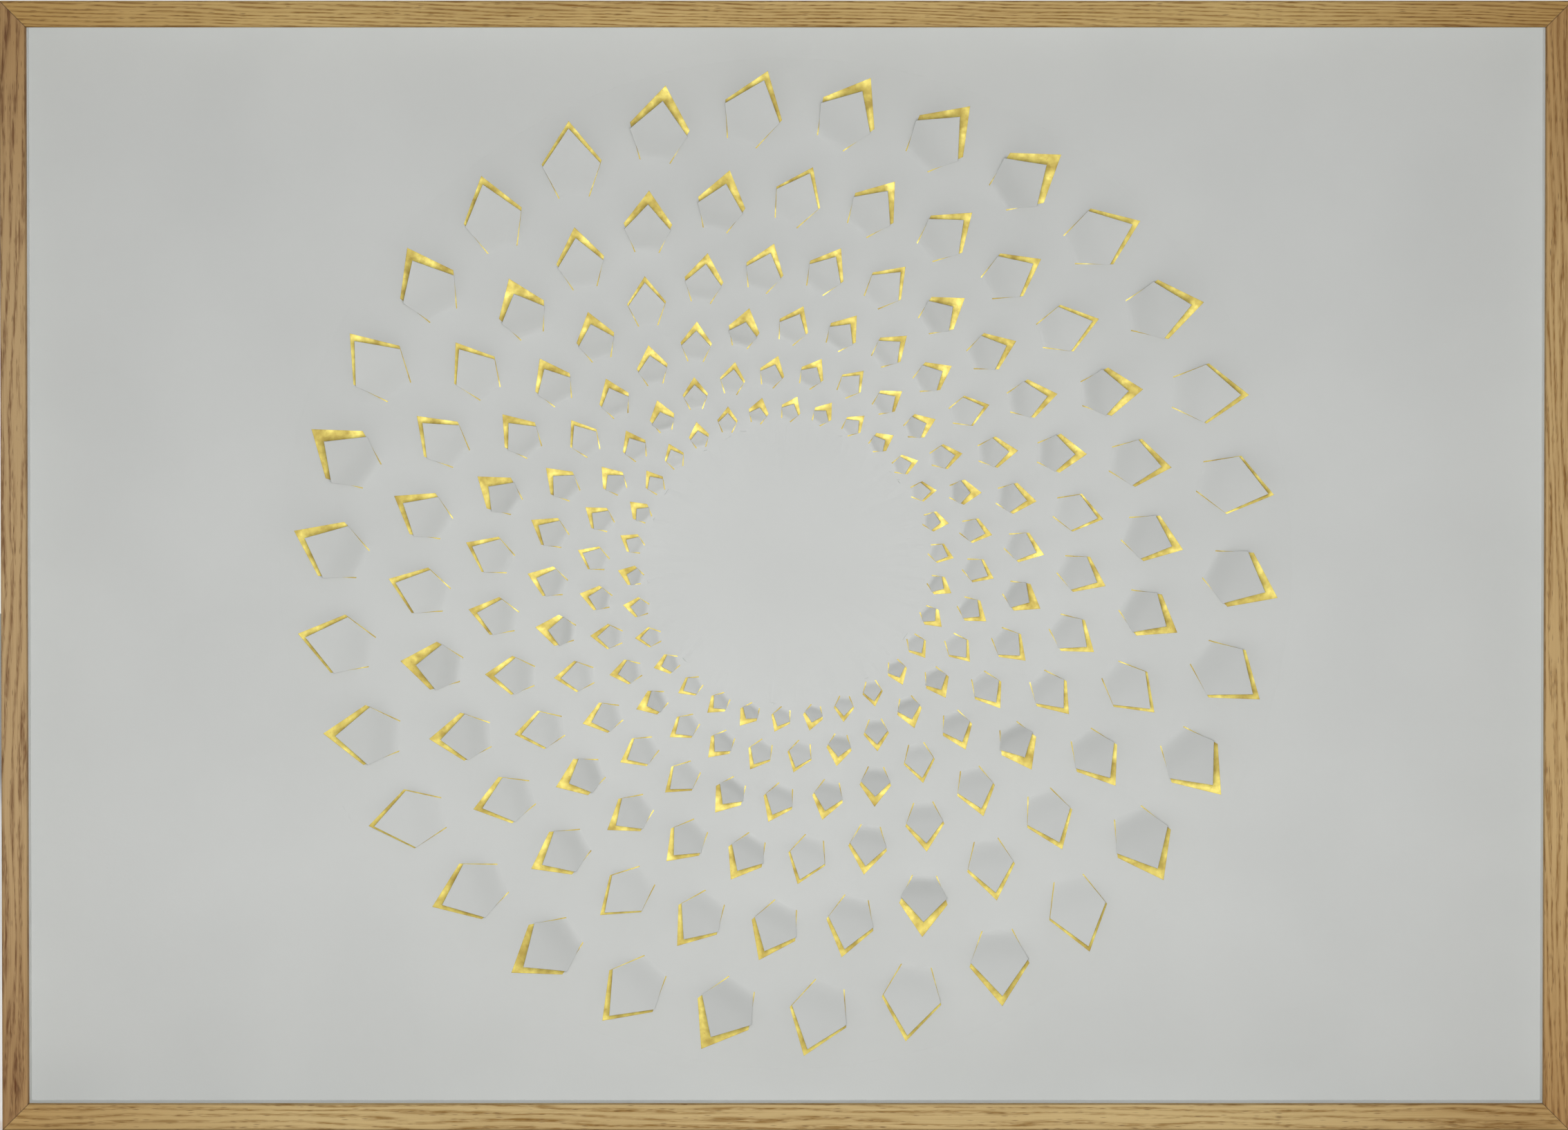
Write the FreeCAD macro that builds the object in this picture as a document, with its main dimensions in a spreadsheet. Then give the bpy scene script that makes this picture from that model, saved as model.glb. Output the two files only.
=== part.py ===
import FreeCAD, Part
import math
import os

import Sketcher

# A framed cut-paper relief: a white sheet with lifted leaves over a gilded card, behind glass in a deep
# oak frame. X runs to the viewer's right, Y into the picture and Z up. The origin is the middle of the
# surface that the frame stands on, so the front of the frame faces -Y.

Vector = FreeCAD.Vector
Rotation = FreeCAD.Rotation
ALONG_X = Vector(1, 0, 0)
ALONG_Y = Vector(0, 1, 0)
ALONG_Z = Vector(0, 0, 1)

doc = FreeCAD.newDocument("framed_cut_paper_relief")

# Driving dimensions in millimetres and degrees, and counts

DRIVING = {
    "picture_width": 700,
    "picture_height": 500,
    "picture_clearance": 1,
    "rail_face": 12,
    "back_recess": 5,
    "rail_edge_radius": 0.6,
    "rebate_width": 6.5,
    "lip_thickness": 5,
    "glazing_thickness": 2,
    "spacer_thickness": 5,
    "spacer_depth": 25,
    "spacer_clearance": 0.3,
    "cut_sheet_thickness": 0.5,
    "gold_sheet_thickness": 1.5,
    "mount_board_thickness": 3,
    "back_board_thickness": 3,
    "leaf_rows": 6,
    "leaf_arms": 30,
    "first_row_radius": 66,
    "field_margin": 10,
    "arm_slant": 0.5,
    "leaf_length_share": 0.68,
    "leaf_width_share": 0.68,
    "leaf_belly_share": 0.46,
    "leaf_hinge_share": 0.52,
    "knife_gap": 0.3,
    "pane_clearance": 1,
    "inner_lift": 46,
    "lift_unevenness": 11,
    "corner_nail_leg": 6,
    "corner_nail_thickness": 0.6,
    "corner_nail_height": 10,
    "corner_nails_deep": 2,
    "point_width": 10,
    "point_length": 12,
    "point_thickness": 0.5,
    "point_cover": 2,
    "point_corner": 2,
    "points_on_long_rail": 4,
    "points_on_short_rail": 3,
    "point_spacing": 160,
    "hanger_spacing": 360,
    "hanger_drop": 30,
    "hanger_height": 11,
    "hanger_foot": 9,
    "hanger_slope": 2,
    "hanger_standoff": 2,
    "hanger_plate": 1,
    "hanger_corner": 2.5,
    "tooth_pitch": 3,
    "tooth_depth": 2,
    "tooth_flat": 0.4,
    "tooth_count": 7,
    "rivet_radius": 1.5,
    "rivet_head_radius": 3,
    "rivet_crown_radius": 1.8,
    "rivet_head_height": 0.9,
    "pad_length": 20,
    "pad_margin": 0.25,
    "pad_thickness": 2,
    "pad_corner": 1.5,
    "pad_inset": 12,
}

# Places worked out from them: the frame seen from the front, the stack from front to back, and the hangers

DERIVED = {
    "opening_width": "sizes.picture_width + 2 * sizes.picture_clearance",
    "opening_height": "sizes.picture_height + 2 * sizes.picture_clearance",
    "rail_wall": "sizes.rail_face - sizes.rebate_width",
    "outer_width": "opening_width + 2 * rail_wall",
    "outer_height": "opening_height + 2 * rail_wall",
    "centre_height": "outer_height / 2",
    "field_radius": "sizes.picture_height / 2 - sizes.field_margin",
    "sheets_depth": "sizes.cut_sheet_thickness + sizes.gold_sheet_thickness",
    "boards_depth": "sizes.mount_board_thickness + sizes.back_board_thickness",
    "stack_depth": "sizes.glazing_thickness + sizes.spacer_depth + sheets_depth + boards_depth",
    "rail_depth": "sizes.lip_thickness + stack_depth + sizes.back_recess",
    "front": "-(rail_depth + sizes.pad_thickness) / 2",
    "glazing_front": "front + sizes.lip_thickness",
    "spacer_front": "glazing_front + sizes.glazing_thickness",
    "cut_sheet_front": "spacer_front + sizes.spacer_depth",
    "gold_sheet_front": "cut_sheet_front + sizes.cut_sheet_thickness",
    "mount_board_front": "gold_sheet_front + sizes.gold_sheet_thickness",
    "back_board_front": "mount_board_front + sizes.mount_board_thickness",
    "back_board_rear": "back_board_front + sizes.back_board_thickness",
    "rail_rear": "front + rail_depth",
    "point_bite": "rail_wall - sizes.point_cover",
    "pad_width": "rail_wall - 2 * sizes.pad_margin",
    "hanger_middle": "centre_height + sizes.picture_height / 2 - sizes.hanger_drop",
    "bridge_half": "sizes.tooth_pitch * (sizes.tooth_count + 1) / 2",
    "hanger_half": "bridge_half + sizes.hanger_slope + sizes.hanger_foot",
    "rivet_offset": "hanger_half - sizes.hanger_foot / 2",
}


def fill_sheet(name, cells):
    """A spreadsheet with one row for each named value."""
    sheet = doc.addObject("Spreadsheet::Sheet", name)
    for row, (alias, content) in enumerate(cells.items(), start=1):
        sheet.set(f"A{row}", alias)
        sheet.set(f"B{row}", content)
        sheet.setAlias(f"B{row}", alias)
    doc.recompute()
    return sheet


sizes = fill_sheet("sizes", {alias: str(value) for alias, value in DRIVING.items()})
places = fill_sheet("places", {alias: f"={formula}" for alias, formula in DERIVED.items()})


def bind(item, expressions):
    """Ties properties of one object to the sheets."""
    for path, expression in expressions.items():
        item.setExpression(path, expression)


def box(name, length, depth, height, corner):
    """A plain board: its size along X, Y and Z, and its corner of least X, Y and Z."""
    board = doc.addObject("Part::Box", name)
    bind(board, {"Length": length, "Width": depth, "Height": height})
    for axis, expression in zip("xyz", corner):
        board.setExpression(f"Placement.Base.{axis}", expression)
    return board


def gather(name, pieces):
    """Like pieces in one node, each of them still a solid of its own."""
    group = doc.addObject("Part::Compound", name)
    group.Links = pieces
    return group


def origin_feature(body, role):
    """One of a body's own origin planes or axes."""
    return next(item for item in body.Origin.OriginFeatures if item.Role == role)


def sketch_on(body, role, name):
    """An empty sketch on one of the body's origin planes."""
    sketch = body.newObject("Sketcher::SketchObject", name)
    sketch.AttachmentSupport = [(origin_feature(body, role), "")]
    sketch.MapMode = "FlatFace"
    return sketch


def draw_outline(sketch, corners):
    """A closed outline of straight sides, with both coordinates of each corner held by an expression."""
    drawn = [Vector(*(float(sketch.evalExpression(side)) for side in corner), 0) for corner in corners]
    sides = [
        sketch.addGeometry(Part.LineSegment(start, end), False)
        for start, end in zip(drawn, drawn[1:] + drawn[:1])
    ]
    for side, following in zip(sides, sides[1:] + sides[:1]):
        sketch.addConstraint(Sketcher.Constraint("Coincident", side, 2, following, 1))
    for side, point, corner in zip(sides, drawn, corners):
        for kind, value, expression in zip(("DistanceX", "DistanceY"), point, corner):
            held = sketch.addConstraint(Sketcher.Constraint(kind, -1, 1, side, 1, value))
            sketch.setExpression(f"Constraints[{held}]", expression)


def add_feature(body, kind, name, expressions, **settings):
    """A feature of a body, bound to the sheets, which becomes the body's tip."""
    feature = body.newObject(f"PartDesign::{kind}", name)
    for setting, value in settings.items():
        setattr(feature, setting, value)
    bind(feature, expressions)
    body.Tip = feature
    doc.recompute()
    return feature


def edges_where(shape, test):
    """The names of the straight edges of a shape whose two ends both pass a test."""
    return [
        f"Edge{number}"
        for number, edge in enumerate(shape.Edges, start=1)
        if len(edge.Vertexes) == 2 and all(test(vertex.Point) for vertex in edge.Vertexes)
    ]


SAME_PLACE = 0.001


def near(first, second):
    """Whether two lengths are the same, but for rounding."""
    return abs(first - second) < SAME_PLACE


# Oak rails. Each is drawn as the bottom one, with the frame's middle at its origin, and turned into place.

half_outer_width = "places.outer_width / 2"
half_outer_height = "places.outer_height / 2"


def make_rail(name, half_span, half_length, point_count, turn):
    """A rail of L-shaped section with mitred ends, corner nail slots and the cuts of the framer's points."""
    rail = doc.addObject("PartDesign::Body", name)
    outer_face = f"-{half_span}"
    rebate_floor = f"{outer_face} + places.rail_wall"
    sight_edge = f"{outer_face} + sizes.rail_face"

    section = sketch_on(rail, "YZ_Plane", f"{name}_section")
    draw_outline(
        section,
        [
            ("places.front", outer_face),
            ("places.rail_rear", outer_face),
            ("places.rail_rear", rebate_floor),
            ("places.glazing_front", rebate_floor),
            ("places.glazing_front", sight_edge),
            ("places.front", sight_edge),
        ],
    )
    length = {"Length": f"2 * {half_length}"}
    stick = add_feature(rail, "Pad", f"{name}_stick", length, Profile=section, SideType="Symmetric")

    front_edges = edges_where(stick.Shape, lambda point: near(point.y, places.front))
    long_edges = [
        edge for edge in front_edges if near(stick.Shape.getElement(edge).Length, stick.Length.Value)
    ]
    softened = {"Radius": "sizes.rail_edge_radius"}
    add_feature(rail, "Fillet", f"{name}_softened", softened, Base=(stick, long_edges))

    waste = sketch_on(rail, "XZ_Plane", f"{name}_waste")
    for end in (1, -1):
        draw_outline(
            waste,
            [
                (f"{end} * {half_length}", outer_face),
                (f"{end} * {half_length}", sight_edge),
                (f"{end} * ({half_length} - sizes.rail_face)", sight_edge),
            ],
        )
    through = {"Length": "2 * (places.rail_depth + sizes.pad_thickness)"}
    add_feature(rail, "Pocket", f"{name}_mitres", through, Profile=waste, SideType="Symmetric")

    nail_slot = add_feature(
        rail,
        "SubtractiveBox",
        f"{name}_nail_slot",
        {
            "Length": "sizes.corner_nail_leg + sizes.corner_nail_thickness / 2",
            "Width": "sizes.corner_nails_deep * sizes.corner_nail_height",
            "Height": "sizes.corner_nail_thickness",
            "Placement.Base.x": f"{half_length} - places.rail_wall / 2 - sizes.corner_nail_leg",
            "Placement.Base.y": "places.rail_rear - sizes.corner_nails_deep * sizes.corner_nail_height",
            "Placement.Base.z": f"{outer_face} + (places.rail_wall - sizes.corner_nail_thickness) / 2",
        },
    )
    across = (origin_feature(rail, "YZ_Plane"), [""])
    add_feature(rail, "Mirrored", f"{name}_both_ends", {}, Originals=[nail_slot], MirrorPlane=across)

    point_cut = add_feature(
        rail,
        "SubtractiveBox",
        f"{name}_point_cut",
        {
            "Length": "sizes.point_width",
            "Width": "sizes.point_thickness",
            "Height": "places.point_bite",
            "Placement.Base.x": f"-(sizes.point_spacing * ({point_count} - 1) + sizes.point_width) / 2",
            "Placement.Base.y": "places.back_board_rear",
            "Placement.Base.z": f"{rebate_floor} - places.point_bite",
        },
    )
    along = (origin_feature(rail, "X_Axis"), [""])
    run = {"Length": f"sizes.point_spacing * ({point_count} - 1)", "Occurrences": point_count}
    add_feature(rail, "LinearPattern", f"{name}_point_cuts", run, Originals=[point_cut], Direction=along)

    rail.Placement = FreeCAD.Placement(Vector(), Rotation(ALONG_Y, turn))
    rail.setExpression("Placement.Base.z", "places.centre_height")
    return rail


long_rail = (half_outer_height, half_outer_width, "sizes.points_on_long_rail")
short_rail = (half_outer_width, half_outer_height, "sizes.points_on_short_rail")
rail_bottom = make_rail("rail_bottom", *long_rail, 0)
rail_top = make_rail("rail_top", *long_rail, 180)
rail_left = make_rail("rail_left", *short_rail, 90)
rail_right = make_rail("rail_right", *short_rail, -90)


# Corner nails: thin steel angles, one leg in each rail, driven in from behind one after the other


def make_corner_nail(index):
    """One angle in the bottom right corner; the mitre runs through its bend."""
    name = f"corner_nail_{index + 1}"
    bend_x = f"{half_outer_width} - places.rail_wall / 2"
    bend_z = "places.rail_wall / 2"
    depth = f"places.rail_rear - sizes.corner_nail_height * {index + 1}"
    reach = "sizes.corner_nail_leg + sizes.corner_nail_thickness / 2"
    thickness = "sizes.corner_nail_thickness"
    height = "sizes.corner_nail_height"
    low_z = f"{bend_z} - {thickness} / 2"
    leg_end = f"{bend_x} - sizes.corner_nail_leg"
    flat_leg = box(f"{name}_flat", reach, height, thickness, (leg_end, depth, low_z))
    up_leg = box(f"{name}_up", thickness, height, reach, (f"{bend_x} - {thickness} / 2", depth, low_z))
    nail = doc.addObject("Part::Fuse", name)
    nail.Base = flat_leg
    nail.Tool = up_leg
    nail.Refine = True
    return nail


def mirror(name, source, normal):
    """The same piece on the other side of the frame's middle."""
    copy = doc.addObject("Part::Mirroring", name)
    copy.Source = source
    copy.Normal = normal
    copy.setExpression("Base.z", "places.centre_height")
    return copy


nails_low_right = [make_corner_nail(index) for index in range(DRIVING["corner_nails_deep"])]
nails_low_left = [mirror(f"{nail.Name}_left", nail, ALONG_X) for nail in nails_low_right]
nails_low = nails_low_right + nails_low_left
nails_high = [mirror(f"{nail.Name}_high", nail, ALONG_Z) for nail in nails_low]
corner_nails = gather("corner_nails", nails_low + nails_high)


# The pane, the gilded card and the mount board: flat boards of the picture's size, with a gap all round


def make_board(name, thickness, front):
    left = "-sizes.picture_width / 2"
    low = "places.centre_height - sizes.picture_height / 2"
    return box(name, "sizes.picture_width", thickness, "sizes.picture_height", (left, front, low))


glazing = make_board("glazing", "sizes.glazing_thickness", "places.glazing_front")
gold_sheet = make_board("gold_sheet", "sizes.gold_sheet_thickness", "places.gold_sheet_front")
mount_board = make_board("mount_board", "sizes.mount_board_thickness", "places.mount_board_front")


# Spacers: the long two run along the rebate's floor and ceiling, the short two stand between them

spacer_half_width = "(places.opening_width / 2 - sizes.spacer_clearance)"
spacer_half_height = "(places.opening_height / 2 - sizes.spacer_clearance)"


def make_long_spacer(name, low):
    length = f"2 * {spacer_half_width}"
    corner = (f"-{spacer_half_width}", "places.spacer_front", low)
    return box(name, length, "sizes.spacer_depth", "sizes.spacer_thickness", corner)


def make_short_spacer(name, left):
    height = f"2 * ({spacer_half_height} - sizes.spacer_thickness)"
    low = f"places.centre_height - {spacer_half_height} + sizes.spacer_thickness"
    corner = (left, "places.spacer_front", low)
    return box(name, "sizes.spacer_thickness", "sizes.spacer_depth", height, corner)


spacer_bottom = make_long_spacer("spacer_bottom", f"places.centre_height - {spacer_half_height}")
spacer_top = make_long_spacer(
    "spacer_top", f"places.centre_height + {spacer_half_height} - sizes.spacer_thickness"
)
spacer_left = make_short_spacer("spacer_left", f"-{spacer_half_width}")
spacer_right = make_short_spacer("spacer_right", f"{spacer_half_width} - sizes.spacer_thickness")


# The cut sheet: one sheet of paper with lozenge leaves cut through it, each by four straight strokes of the
# knife. A leaf stays joined at its inner end and is bent up toward the viewer there. The leaves stand in
# spiral arms round an open middle, every row larger than the last by the same ratio, along their own arms.


def leaf_outline(length, half_width, inset):
    """A lozenge leaf from its hinge at the origin to its tip on +Y, with its sides moved in by the inset."""
    belly = length * sizes.leaf_belly_share
    hinge_half = half_width * sizes.leaf_hinge_share - inset
    belly_half = half_width - inset
    tip = length - inset * (length - belly) / half_width
    return Part.makePolygon(
        [
            Vector(-hinge_half, 0, 0),
            Vector(hinge_half, 0, 0),
            Vector(belly_half, belly, 0),
            Vector(0, tip, 0),
            Vector(-belly_half, belly, 0),
            Vector(-hinge_half, 0, 0),
        ]
    )


# Lifted by hand, the leaves of a row differ: two waves run round the rows, given by their share of the
# unevenness and by the angle in radians from one arm, and from one row, to the next

LIFT_WAVES = [
    {"share": 0.6, "per_arm": 2.4, "per_row": 1.7},
    {"share": 0.4, "per_arm": 0.9, "per_row": 4.1},
]


def unevenness(row, arm):
    """How much more or less than its row a leaf is lifted, from -1 to 1."""
    return sum(
        wave["share"] * math.sin(wave["per_arm"] * arm + wave["per_row"] * row) for wave in LIFT_WAVES
    )


def make_cut_sheet():
    thickness = sizes.cut_sheet_thickness
    rows = int(sizes.leaf_rows)
    growth = (places.field_radius / sizes.first_row_radius) ** (1 / rows)
    pitch = 2 * math.pi / sizes.leaf_arms
    slant = math.atan(sizes.arm_slant * pitch / math.log(growth))
    upright = Rotation(ALONG_X, 90)
    front = Vector(0, places.cut_sheet_front, places.centre_height)

    radii = [sizes.first_row_radius * growth**row for row in range(rows)]
    lengths = [radius * (growth - 1) / math.cos(slant) * sizes.leaf_length_share for radius in radii]

    # The outer leaves are the longest, so the room under the pane sets how far they are lifted
    room = sizes.spacer_depth - sizes.pane_clearance
    steepest = math.degrees(math.asin(min(1, room / lengths[-1])))
    outer_lift = min(sizes.inner_lift, steepest - sizes.lift_unevenness)

    holes = []
    leaves = []
    for row, (radius, length) in enumerate(zip(radii, lengths)):
        half_width = radius * pitch * sizes.leaf_width_share / 2
        hole = leaf_outline(length, half_width, 0)
        leaf = Part.Face(leaf_outline(length, half_width, sizes.knife_gap))
        leaf.translate(Vector(0, 0, -thickness))
        leaf = leaf.extrude(Vector(0, 0, thickness))
        row_lift = sizes.inner_lift + (outer_lift - sizes.inner_lift) * row / (rows - 1)
        for arm in range(int(sizes.leaf_arms)):
            lift = row_lift + sizes.lift_unevenness * unevenness(row, arm)
            bearing = (arm + sizes.arm_slant * row) * pitch
            hinge = front + Vector(math.sin(bearing), 0, math.cos(bearing)) * radius
            facing = Rotation(ALONG_Y, math.degrees(bearing + slant)).multiply(upright)
            placement = FreeCAD.Placement(hinge, facing)
            hole_here = hole.copy()
            hole_here.Placement = placement
            holes.append(hole_here)
            leaf_here = leaf.copy()
            leaf_here.rotate(Vector(0, 0, -thickness), ALONG_X, lift)
            leaf_here.Placement = placement.multiply(leaf_here.Placement)
            leaves.append(leaf_here)

    edge = Part.makePolygon(
        [
            front + Vector(side * sizes.picture_width / 2, 0, rise * sizes.picture_height / 2)
            for side, rise in ((-1, -1), (1, -1), (1, 1), (-1, 1), (-1, -1))
        ]
    )
    pierced = Part.makeFace([edge] + holes, "Part::FaceMakerBullseye")
    pierced = pierced.extrude(Vector(0, thickness, 0))
    return pierced.multiFuse(leaves)


cut_sheet = doc.addObject("Part::Feature", "cut_sheet")
cut_sheet.Shape = make_cut_sheet()


# Rivets and the back board, which is drilled for them. Each rivet is flush with the board's front.

rivet_places = [
    f"{side} * sizes.hanger_spacing / 2 + {end} * places.rivet_offset" for side in (-1, 1) for end in (-1, 1)
]


def turned_piece(kind, name, expressions, middle_x, front):
    """A round piece whose axis runs from front to back at a rivet's place."""
    piece = doc.addObject(kind, name)
    piece.Placement = FreeCAD.Placement(Vector(), Rotation(ALONG_X, -90))
    bind(piece, expressions)
    for axis, expression in zip("xyz", (middle_x, front, "places.hanger_middle")):
        piece.setExpression(f"Placement.Base.{axis}", expression)
    return piece


def make_rivet(index, middle_x):
    grip = "sizes.back_board_thickness + sizes.hanger_plate"
    shank_size = {"Radius": "sizes.rivet_radius", "Height": grip}
    head_size = {
        "Radius1": "sizes.rivet_head_radius",
        "Radius2": "sizes.rivet_crown_radius",
        "Height": "sizes.rivet_head_height",
    }
    head_front = "places.back_board_rear + sizes.hanger_plate"
    shank = turned_piece("Part::Cylinder", f"shank_{index}", shank_size, middle_x, "places.back_board_front")
    head = turned_piece("Part::Cone", f"head_{index}", head_size, middle_x, head_front)
    rivet = doc.addObject("Part::Fuse", f"rivet_{index}")
    rivet.Base = shank
    rivet.Tool = head
    return shank, rivet


shanks, rivets = zip(*(make_rivet(index, middle_x) for index, middle_x in enumerate(rivet_places)))
hanger_rivets = gather("hanger_rivets", list(rivets))

blank_board = make_board("blank_board", "sizes.back_board_thickness", "places.back_board_front")
back_board = doc.addObject("Part::Cut", "back_board")
back_board.Base = blank_board
back_board.Tool = gather("rivet_holes", list(shanks))


# Toothed hangers: a pressed steel strip with flat feet, a raised bridge, and teeth along its lower edge


def make_hanger(name, side):
    hanger = doc.addObject("PartDesign::Body", name)
    foot_end = "places.hanger_half"
    foot_start = "(places.bridge_half + sizes.hanger_slope)"
    bridge_end = "places.bridge_half"
    plate = "sizes.hanger_plate"
    raised = "sizes.hanger_standoff"
    right_half = [(bridge_end, raised), (foot_start, "0"), (foot_end, "0")]
    right_back = [(foot_end, plate), (foot_start, plate), (bridge_end, f"{raised} + {plate}")]
    left_back = [(f"-{across}", depth) for across, depth in reversed(right_back)]
    left_half = [(f"-{across}", depth) for across, depth in reversed(right_half)]

    strip = sketch_on(hanger, "XY_Plane", f"{name}_strip")
    draw_outline(strip, right_half + right_back + left_back + left_half)
    height = {"Length": "sizes.hanger_height"}
    pressed = add_feature(hanger, "Pad", f"{name}_pressed", height, Profile=strip, SideType="Symmetric")

    ends = edges_where(pressed.Shape, lambda point: near(abs(point.x), places.hanger_half))
    short_ends = [edge for edge in ends if near(pressed.Shape.getElement(edge).Length, sizes.hanger_plate)]
    rounded = {"Radius": "sizes.hanger_corner"}
    add_feature(hanger, "Fillet", f"{name}_rounded", rounded, Base=(pressed, short_ends))

    notch = sketch_on(hanger, "XZ_Plane", f"{name}_notch")
    first = "-sizes.tooth_pitch * (sizes.tooth_count - 1) / 2"
    half_notch = "(sizes.tooth_pitch - sizes.tooth_flat) / 2"
    low = "-sizes.hanger_height / 2"
    draw_outline(
        notch,
        [
            (f"{first} - {half_notch}", low),
            (f"{first} + {half_notch}", low),
            (first, f"{low} + sizes.tooth_depth"),
        ],
    )
    through = {"Length": "2 * (sizes.hanger_standoff + sizes.hanger_plate)"}
    gullet = add_feature(hanger, "Pocket", f"{name}_gullet", through, Profile=notch, SideType="Symmetric")
    run = {"Length": "sizes.tooth_pitch * (sizes.tooth_count - 1)", "Occurrences": "sizes.tooth_count"}
    along = (origin_feature(hanger, "X_Axis"), [""])
    add_feature(hanger, "LinearPattern", f"{name}_teeth", run, Originals=[gullet], Direction=along)

    ring = sketch_on(hanger, "XZ_Plane", f"{name}_ring")
    ring.addGeometry(Part.Circle(Vector(places.rivet_offset, 0, 0), ALONG_Z, sizes.rivet_radius), False)
    ring.addConstraint(Sketcher.Constraint("PointOnObject", 0, 3, -1))
    across = ring.addConstraint(Sketcher.Constraint("DistanceX", -1, 1, 0, 3, places.rivet_offset))
    ring.setExpression(f"Constraints[{across}]", "places.rivet_offset")
    bore = ring.addConstraint(Sketcher.Constraint("Radius", 0, sizes.rivet_radius))
    ring.setExpression(f"Constraints[{bore}]", "sizes.rivet_radius")
    hole = add_feature(hanger, "Pocket", f"{name}_hole", through, Profile=ring, SideType="Symmetric")
    middle = (origin_feature(hanger, "YZ_Plane"), [""])
    add_feature(hanger, "Mirrored", f"{name}_holes", {}, Originals=[hole], MirrorPlane=middle)

    places_on_board = (f"{side} * sizes.hanger_spacing / 2", "places.back_board_rear", "places.hanger_middle")
    for axis, expression in zip("xyz", places_on_board):
        hanger.setExpression(f"Placement.Base.{axis}", expression)
    return hanger


hanger_left = make_hanger("hanger_left", -1)
hanger_right = make_hanger("hanger_right", 1)


# Framer's points: flat steel tabs pushed into the rebate's wall so that they lie on the back board


def make_points(side, half_span, count, turn):
    """The points of one rail, drawn for the bottom one and turned into place with it."""
    number = int(getattr(sizes, count))
    points = []
    for index in range(number):
        name = f"point_{side}_{index}"
        middle = f"sizes.point_spacing * ({index} - (sizes.{count} - 1) / 2)"
        low = f"-{half_span} + places.rail_wall - places.point_bite"
        corner = (f"{middle} - sizes.point_width / 2", "places.back_board_rear", low)
        size = ("sizes.point_width", "sizes.point_thickness", "sizes.point_length")
        tab = box(f"{name}_tab", *size, corner)
        doc.recompute()
        free_end = tab.Placement.Base.z + tab.Height.Value
        tips = edges_where(tab.Shape, lambda point: near(point.z, free_end))
        corners = [edge for edge in tips if near(tab.Shape.getElement(edge).Length, tab.Width.Value)]
        point = doc.addObject("Part::Chamfer", name)
        point.Base = tab
        cut = sizes.point_corner
        point.Edges = [(int(edge.removeprefix("Edge")), cut, cut) for edge in corners]
        points.append(point)
    group = gather(f"points_{side}", points)
    group.Placement = FreeCAD.Placement(Vector(), Rotation(ALONG_Y, turn))
    group.setExpression("Placement.Base.z", "places.centre_height")
    return group


framers_points = gather(
    "framers_points",
    [
        make_points("bottom", half_outer_height, "points_on_long_rail", 0),
        make_points("top", half_outer_height, "points_on_long_rail", 180),
        make_points("left", half_outer_width, "points_on_short_rail", 90),
        make_points("right", half_outer_width, "points_on_short_rail", -90),
    ],
)


# Felt pads on the back of the bottom rail, near its ends


def make_pad(name, left):
    size = ("sizes.pad_length", "sizes.pad_thickness", "places.pad_width")
    block = box(f"{name}_block", *size, (left, "places.rail_rear", "sizes.pad_margin"))
    doc.recompute()
    corners = [
        number
        for number, edge in enumerate(block.Shape.Edges, start=1)
        if near(abs(edge.tangentAt(edge.FirstParameter).y), 1)
    ]
    pad = doc.addObject("Part::Fillet", name)
    pad.Base = block
    pad.Edges = [(number, sizes.pad_corner, sizes.pad_corner) for number in corners]
    return pad


pad_left = make_pad("pad_left", f"-{half_outer_width} + sizes.pad_inset")
pad_right = make_pad("pad_right", f"{half_outer_width} - sizes.pad_inset - sizes.pad_length")


# Every object is tested before any piece is written

nodes = [
    rail_bottom,
    rail_top,
    rail_left,
    rail_right,
    corner_nails,
    glazing,
    spacer_bottom,
    spacer_top,
    spacer_left,
    spacer_right,
    cut_sheet,
    gold_sheet,
    mount_board,
    back_board,
    framers_points,
    hanger_left,
    hanger_right,
    hanger_rivets,
    pad_left,
    pad_right,
]

doc.recompute()
for item in doc.Objects:
    if "Invalid" in item.State or "Error" in item.State:
        raise RuntimeError(f"{item.Name} is {item.State}")
for node in nodes:
    if node.Shape.isNull() or not node.Shape.isValid():
        raise RuntimeError(f"{node.Label} has no valid shape")

os.makedirs("parts", exist_ok=True)
for node in nodes:
    node.Shape.exportStep(f"parts/{node.Label}.step")
    size = node.Shape.BoundBox
    print(
        f"{node.Label}: {len(node.Shape.Solids)} solids, volume {node.Shape.Volume:.1f},"
        f" {size.XLength:.2f} x {size.YLength:.2f} x {size.ZLength:.2f}"
    )
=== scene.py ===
import math

import bmesh
import bpy
import numpy as np
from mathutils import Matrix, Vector


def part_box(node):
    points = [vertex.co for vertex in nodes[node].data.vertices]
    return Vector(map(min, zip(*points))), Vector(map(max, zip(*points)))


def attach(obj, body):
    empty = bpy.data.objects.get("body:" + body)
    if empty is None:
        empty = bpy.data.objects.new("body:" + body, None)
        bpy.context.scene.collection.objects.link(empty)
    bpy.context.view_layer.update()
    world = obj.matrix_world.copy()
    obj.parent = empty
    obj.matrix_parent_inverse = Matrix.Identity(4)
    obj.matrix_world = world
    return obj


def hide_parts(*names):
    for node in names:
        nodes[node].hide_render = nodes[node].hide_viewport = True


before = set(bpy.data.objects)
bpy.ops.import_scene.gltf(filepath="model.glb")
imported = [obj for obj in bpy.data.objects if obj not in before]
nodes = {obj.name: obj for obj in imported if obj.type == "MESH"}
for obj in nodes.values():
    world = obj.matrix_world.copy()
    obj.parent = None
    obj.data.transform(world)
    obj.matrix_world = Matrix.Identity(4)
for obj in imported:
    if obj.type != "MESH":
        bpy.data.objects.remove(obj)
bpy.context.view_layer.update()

MM = 0.001


# The frame: four rails of straight-grained oak, mitred at the corners, sanded and oiled. The grain runs
# along each rail, so it turns at the mitres, where the joint shows as a fine dark line.


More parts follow.
